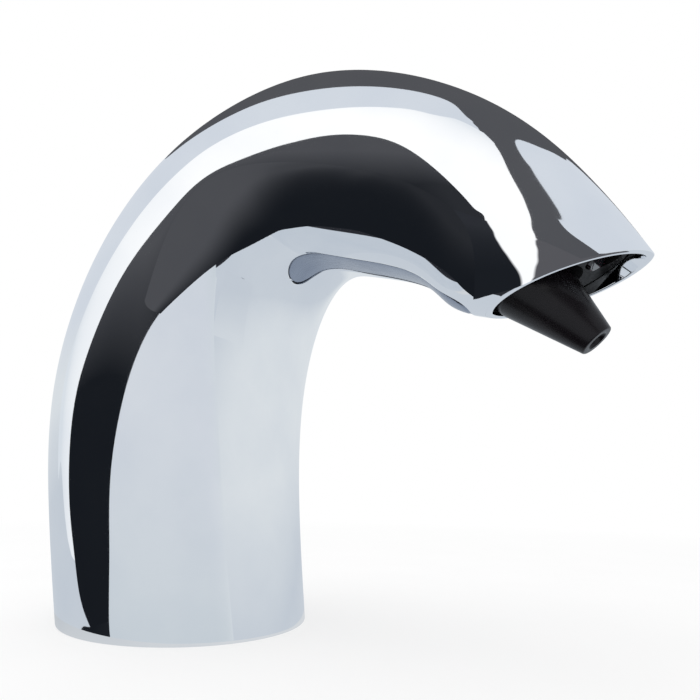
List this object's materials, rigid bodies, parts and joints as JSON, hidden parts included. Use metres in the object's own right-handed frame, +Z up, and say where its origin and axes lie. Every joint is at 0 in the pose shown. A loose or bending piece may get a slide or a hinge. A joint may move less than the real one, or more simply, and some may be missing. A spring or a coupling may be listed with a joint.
{
  "type": "automatic soap dispenser",
  "caption": "Arched, chrome-plated deck spout of a touch-free soap dispenser, with a lens-shaped mouth, a conical black nozzle, a hand sensor and an inset cover under the arch.",
  "frame": {"origin": "on the deck, in the middle of the spout's footprint", "axes": "+Z up, +X from the column towards the beak"},
  "size_m": [0.1244, 0.0606, 0.111],
  "materials": {
    "black_plastic": "satin",
    "black_rubber": "matt",
    "brass": "machined",
    "cable_sheath": "matt",
    "chrome_body": "polished",
    "circuit_board": "solder mask",
    "clear_tube": "milky",
    "connector_plastic": "moulded",
    "dark_window": "clear dark red",
    "emitter_epoxy": "clear",
    "grey_cover": "satin metallised",
    "led_epoxy": "tinted",
    "plate_metal": "cast",
    "receiver_epoxy": "dark",
    "steel": "plain",
    "white_plastic": "moulded"
  },
  "bodies": {
    "spout": {"base_gasket": "black_rubber", "base_plate": "plate_metal", "base_screw_1": "steel", "base_screw_2": "steel", "base_screw_3": "steel", "board_connector": "connector_plastic", "cable_plug": "connector_plastic", "hose_clamp": "steel", "indicator_led": "led_epoxy", "inlet_barb": "brass", "insert_screw": "steel", "ir_emitter": "emitter_epoxy", "ir_receiver": "receiver_epoxy", "mounting_bush": "brass", "mouth_insert": "black_plastic", "sensor_board": "circuit_board", "sensor_cable": "cable_sheath", "sensor_housing": "black_plastic", "sensor_window": "dark_window", "shank_grommet": "black_rubber", "soap_tube": "clear_tube", "spout_body": "chrome_body", "spring_retainer": "white_plastic", "tube_clip_1": "white_plastic", "tube_clip_2": "white_plastic", "tube_clip_3": "white_plastic", "valve_seat": "black_rubber", "valve_spring": "steel"},
    "nozzle_body": {"nozzle": "black_plastic", "nozzle_oring": "black_rubber"},
    "poppet_body": {"valve_poppet": "white_plastic"},
    "cover_body": {"belly_cover": "grey_cover"}
  },
  "joints": [
    {"name": "nozzle_turn", "type": "hinge", "parent": "spout", "child": "nozzle_body", "pos_m": [0.05301, 0, 0.0519], "axis": [0.657, 0, -0.7539], "range_deg": [0, 60]},
    {"name": "valve_slide", "type": "slide", "parent": "spout", "child": "poppet_body", "axis": [0.657, 0, -0.7539], "range_m": [0, 0.0012], "stiffness_N_per_m": 150, "springref_m": -0.002, "deforming": ["valve_spring"]},
    {"name": "belly_cover_lift", "type": "hinge", "parent": "spout", "child": "cover_body", "pos_m": [-0.0061, 0, 0.0723], "axis": [0, 1, 0], "range_deg": [0, 10]}
  ]
}
